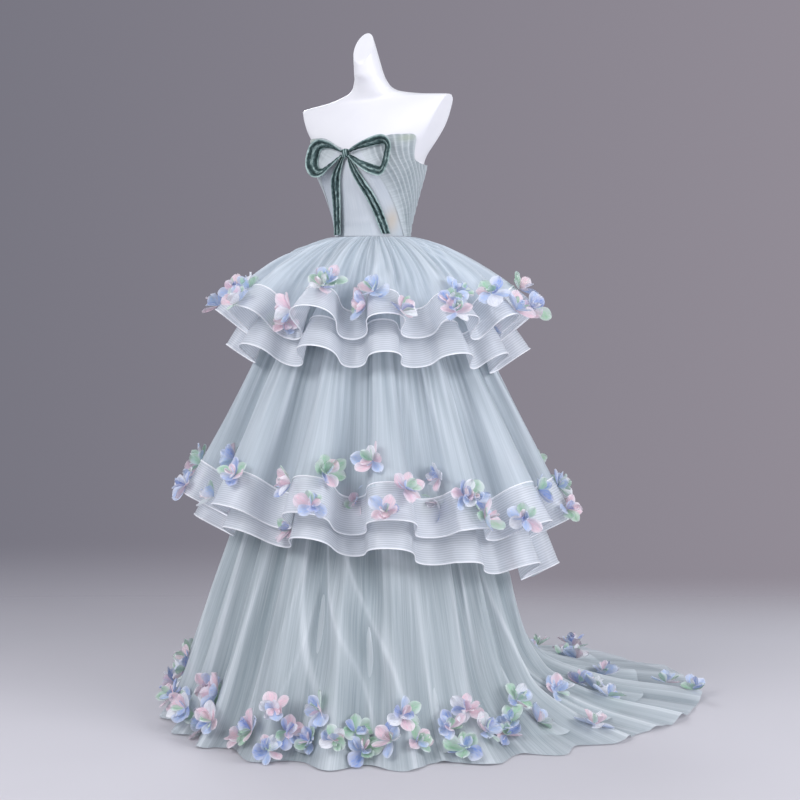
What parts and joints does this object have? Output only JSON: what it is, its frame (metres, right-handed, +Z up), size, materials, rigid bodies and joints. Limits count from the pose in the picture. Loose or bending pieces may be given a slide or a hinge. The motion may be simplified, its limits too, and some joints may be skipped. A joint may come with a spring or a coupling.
{
  "type": "evening dress on a limbless dress form",
  "caption": "Strapless tiered evening dress with a pleated bodice, ribbon bow, braided flounces, flowers and a swept train, worn by a limbless dress form on a round base.",
  "frame": {"origin": "on the floor, at the middle of the form's round base", "axes": "+Z up, -Y towards the front of the dress, +X towards the wearer's left"},
  "size_m": [1.1874, 1.2232, 1.5551],
  "materials": {
    "form_plastic": "smooth white moulded shell with a soft sheen",
    "stand_metal": "white powder-coated steel",
    "tulle": "sheer soft nylon tulle, pale blue-green",
    "horsehair_braid": "stiff translucent horsehair braid with a bright edge",
    "lining": "plain matt lining, pale grey-green",
    "bodice_tulle": "tulle laid smooth over a champagne underlay",
    "pleated_tulle": "fine hand-laid tulle pleats",
    "velvet": "sage green velvet ribbon with a bright pile edge",
    "organza": "organza petals in pink, blue, green and white"
  },
  "bodies": {
    "root": {"form_torso": "form_plastic", "form_pole": "stand_metal", "form_base": "stand_metal", "bodice_front": "bodice_tulle", "bodice_side_left": "pleated_tulle", "bodice_side_right": "pleated_tulle", "bodice_back_left": "bodice_tulle", "bodice_back_right": "bodice_tulle", "back_zip": "pleated_tulle", "bow_knot": "velvet", "bow_loop_left": "velvet", "bow_loop_right": "velvet", "bow_tail_left": "velvet", "bow_tail_right": "velvet", "flowers_tier1_1": "organza", "flowers_tier1_10": "organza", "flowers_tier1_2": "organza", "flowers_tier1_3": "organza", "flowers_tier1_4": "organza", "flowers_tier1_5": "organza", "flowers_tier1_6": "organza", "flowers_tier1_7": "organza", "flowers_tier1_8": "organza", "flowers_tier1_9": "organza", "flowers_tier2_1": "organza", "flowers_tier2_10": "organza", "flowers_tier2_11": "organza", "flowers_tier2_2": "organza", "flowers_tier2_3": "organza", "flowers_tier2_4": "organza", "flowers_tier2_5": "organza", "flowers_tier2_6": "organza", "flowers_tier2_7": "organza", "flowers_tier2_8": "organza", "flowers_tier2_9": "organza", "flowers_tier3_1": "organza", "flowers_tier3_10": "organza", "flowers_tier3_11": "organza", "flowers_tier3_2": "organza", "flowers_tier3_3": "organza", "flowers_tier3_4": "organza", "flowers_tier3_5": "organza", "flowers_tier3_6": "organza", "flowers_tier3_7": "organza", "flowers_tier3_8": "organza", "flowers_tier3_9": "organza", "flowers_train_1": "organza", "flowers_train_2": "organza", "flowers_train_3": "organza", "flowers_train_4": "organza", "tier1_inner": "tulle", "tier1_inner_braid": "horsehair_braid", "tier1_outer": "tulle", "tier1_outer_braid": "horsehair_braid", "tier2_inner": "tulle", "tier2_inner_braid": "horsehair_braid", "tier2_outer": "tulle", "tier2_outer_braid": "horsehair_braid", "tier3_skirt": "tulle", "underskirt": "lining"}
  },
  "joints": []
}
